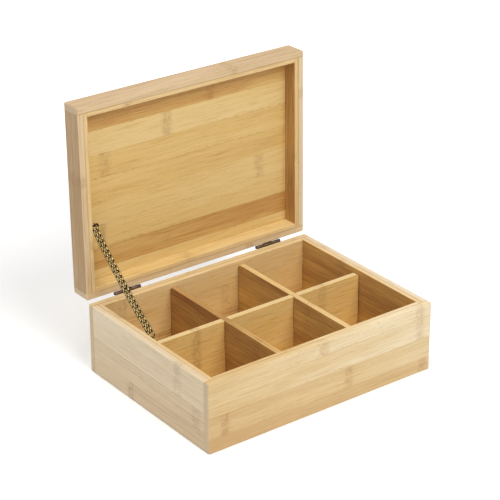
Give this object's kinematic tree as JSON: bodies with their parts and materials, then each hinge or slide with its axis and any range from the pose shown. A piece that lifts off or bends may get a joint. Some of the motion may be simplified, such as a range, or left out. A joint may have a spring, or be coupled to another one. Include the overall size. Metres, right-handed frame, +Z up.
{
  "type": "tea bag organizer box",
  "caption": "Bamboo tea bag box with compartments between cross-lapped dividers, a hinged lid and a chain that stops the lid open.",
  "frame": {"origin": "middle of the underside of the box", "axes": "+Z up, +X to the right along the hinges, the box opens towards -Y and the hinges are at +Y"},
  "size_m": [0.22, 0.1867, 0.2248],
  "materials": {
    "front_bamboo": "satin",
    "side_bamboo": "satin",
    "inner_bamboo": "satin",
    "lid_bamboo": "satin",
    "hinge_brass": "antique",
    "chain_brass": "antique"
  },
  "bodies": {
    "box": {"front_board": "front_bamboo", "back_board": "front_bamboo", "left_board": "side_bamboo", "right_board": "side_bamboo", "box_floor": "inner_bamboo", "long_divider": "inner_bamboo", "left_cross_divider": "inner_bamboo", "right_cross_divider": "inner_bamboo", "left_box_leaf": "hinge_brass", "right_box_leaf": "hinge_brass", "left_hinge_pin": "hinge_brass", "right_hinge_pin": "hinge_brass", "box_hinge_screws": "hinge_brass", "box_chain_screw": "hinge_brass", "box_chain_link": "chain_brass"},
    "lid": {"lid_front_rail": "lid_bamboo", "lid_back_rail": "lid_bamboo", "lid_left_rail": "lid_bamboo", "lid_right_rail": "lid_bamboo", "lid_panel": "lid_bamboo", "left_lid_leaf": "hinge_brass", "right_lid_leaf": "hinge_brass", "lid_hinge_screws": "hinge_brass", "lid_chain_screw": "hinge_brass"},
    "chain_1": {"chain_links_1": "chain_brass"},
    "chain_2": {"chain_links_2": "chain_brass"},
    "chain_3": {"chain_links_3": "chain_brass"},
    "chain_4": {"chain_links_4": "chain_brass"},
    "chain_5": {"chain_links_5": "chain_brass"},
    "chain_6": {"chain_links_6": "chain_brass"},
    "chain_7": {"chain_links_7": "chain_brass"},
    "chain_8": {"chain_links_8": "chain_brass"},
    "chain_9": {"chain_links_9": "chain_brass"},
    "chain_10": {"chain_links_10": "chain_brass"},
    "chain_11": {"chain_links_11": "chain_brass"}
  },
  "joints": [
    {"name": "lid_hinge", "type": "hinge", "parent": "box", "child": "lid", "pos_m": [0, 0.0831, 0.06025], "axis": [1, 0, 0], "range_deg": [0, 91]},
    {"name": "chain_swivel", "type": "hinge", "parent": "lid", "child": "chain_1", "pos_m": [-0.0983, 0.0879, 0.12259], "axis": [1, 0, 0], "range_deg": [0, 76.5]},
    {"name": "chain_bend_1", "type": "hinge", "parent": "chain_1", "child": "chain_2", "pos_m": [-0.09809, 0.0821, 0.11647], "axis": [1, 0, 0], "range_deg": [-16, 0]},
    {"name": "chain_bend_2", "type": "hinge", "parent": "chain_2", "child": "chain_3", "pos_m": [-0.09788, 0.07564, 0.10989], "axis": [1, 0, 0], "range_deg": [-17, 0]},
    {"name": "chain_bend_3", "type": "hinge", "parent": "chain_3", "child": "chain_4", "pos_m": [-0.09767, 0.06906, 0.10342], "axis": [1, 0, 0], "range_deg": [-26, 0]},
    {"name": "chain_bend_4", "type": "hinge", "parent": "chain_4", "child": "chain_5", "pos_m": [-0.09746, 0.06237, 0.09707], "axis": [1, 0, 0], "range_deg": [-40, 0]},
    {"name": "chain_bend_5", "type": "hinge", "parent": "chain_5", "child": "chain_6", "pos_m": [-0.09725, 0.05558, 0.09083], "axis": [1, 0, 0], "range_deg": [-40, 0]},
    {"name": "chain_bend_6", "type": "hinge", "parent": "chain_6", "child": "chain_7", "pos_m": [-0.09705, 0.04867, 0.08472], "axis": [1, 0, 0], "range_deg": [-40, 0]},
    {"name": "chain_bend_7", "type": "hinge", "parent": "chain_7", "child": "chain_8", "pos_m": [-0.09684, 0.04166, 0.07873], "axis": [1, 0, 0], "range_deg": [-29, 0]},
    {"name": "chain_bend_8", "type": "hinge", "parent": "chain_8", "child": "chain_9", "pos_m": [-0.09663, 0.03454, 0.07285], "axis": [1, 0, 0], "range_deg": [-18, 0]},
    {"name": "chain_bend_9", "type": "hinge", "parent": "chain_9", "child": "chain_10", "pos_m": [-0.09642, 0.02733, 0.06711], "axis": [1, 0, 0], "range_deg": [-11, 0]},
    {"name": "chain_bend_10", "type": "hinge", "parent": "chain_10", "child": "chain_11", "pos_m": [-0.09621, 0.02001, 0.06149], "axis": [1, 0, 0], "range_deg": [-7, 0]}
  ],
  "couplings": [
    {"joint": "chain_swivel", "follows": "lid_hinge", "ratio": 0.83},
    {"joint": "chain_bend_1", "follows": "lid_hinge", "ratio": -0.17},
    {"joint": "chain_bend_2", "follows": "lid_hinge", "ratio": -0.18},
    {"joint": "chain_bend_3", "follows": "lid_hinge", "ratio": -0.28},
    {"joint": "chain_bend_4", "follows": "lid_hinge", "ratio": -0.43},
    {"joint": "chain_bend_5", "follows": "lid_hinge", "ratio": -0.43},
    {"joint": "chain_bend_6", "follows": "lid_hinge", "ratio": -0.43},
    {"joint": "chain_bend_7", "follows": "lid_hinge", "ratio": -0.31},
    {"joint": "chain_bend_8", "follows": "lid_hinge", "ratio": -0.19},
    {"joint": "chain_bend_9", "follows": "lid_hinge", "ratio": -0.11},
    {"joint": "chain_bend_10", "follows": "lid_hinge", "ratio": -0.07}
  ]
}
